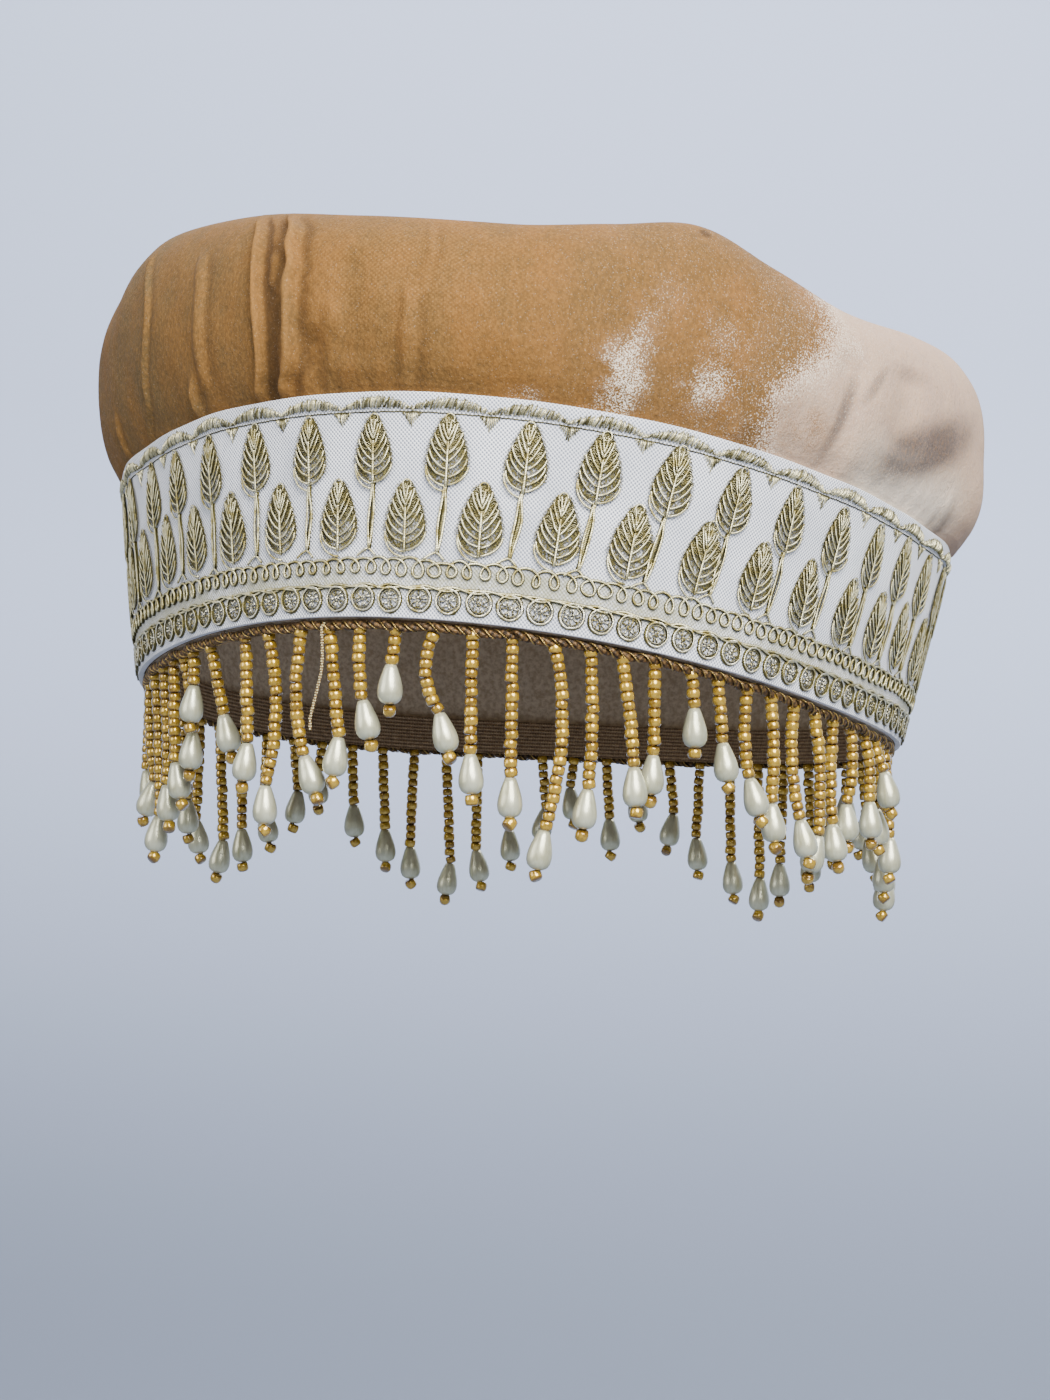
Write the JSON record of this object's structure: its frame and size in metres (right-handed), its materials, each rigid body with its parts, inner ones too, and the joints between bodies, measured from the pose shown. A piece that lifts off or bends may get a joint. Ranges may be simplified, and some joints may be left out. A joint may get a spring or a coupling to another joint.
{
  "type": "velvet cap",
  "caption": "Soft velvet pillbox cap with an embroidered ribbon round the rim and a hanging fringe of bead strands with pearl drops.",
  "frame": {"origin": "centre of the head opening, in the plane of the rim", "axes": "+Z plumb up as worn, -Y the way the wearer faces, +X the wearer's left; the cap is tilted back 9.5 degrees and 3 degrees down at +X, and the fringe hangs plumb"},
  "size_m": [0.2062, 0.2152, 0.1605],
  "materials": {
    "velvet": "tan velvet with a crushed, pale sheen",
    "ribbon": "white woven ribbon with antique gold metal-thread embroidery",
    "beads": "amber-gold glass seed beads with cream pearl drops"
  },
  "bodies": {
    "root": {"crown_side": "velvet", "crown_top": "velvet", "ribbon_band": "ribbon", "bead_fringe": "beads"}
  },
  "joints": []
}
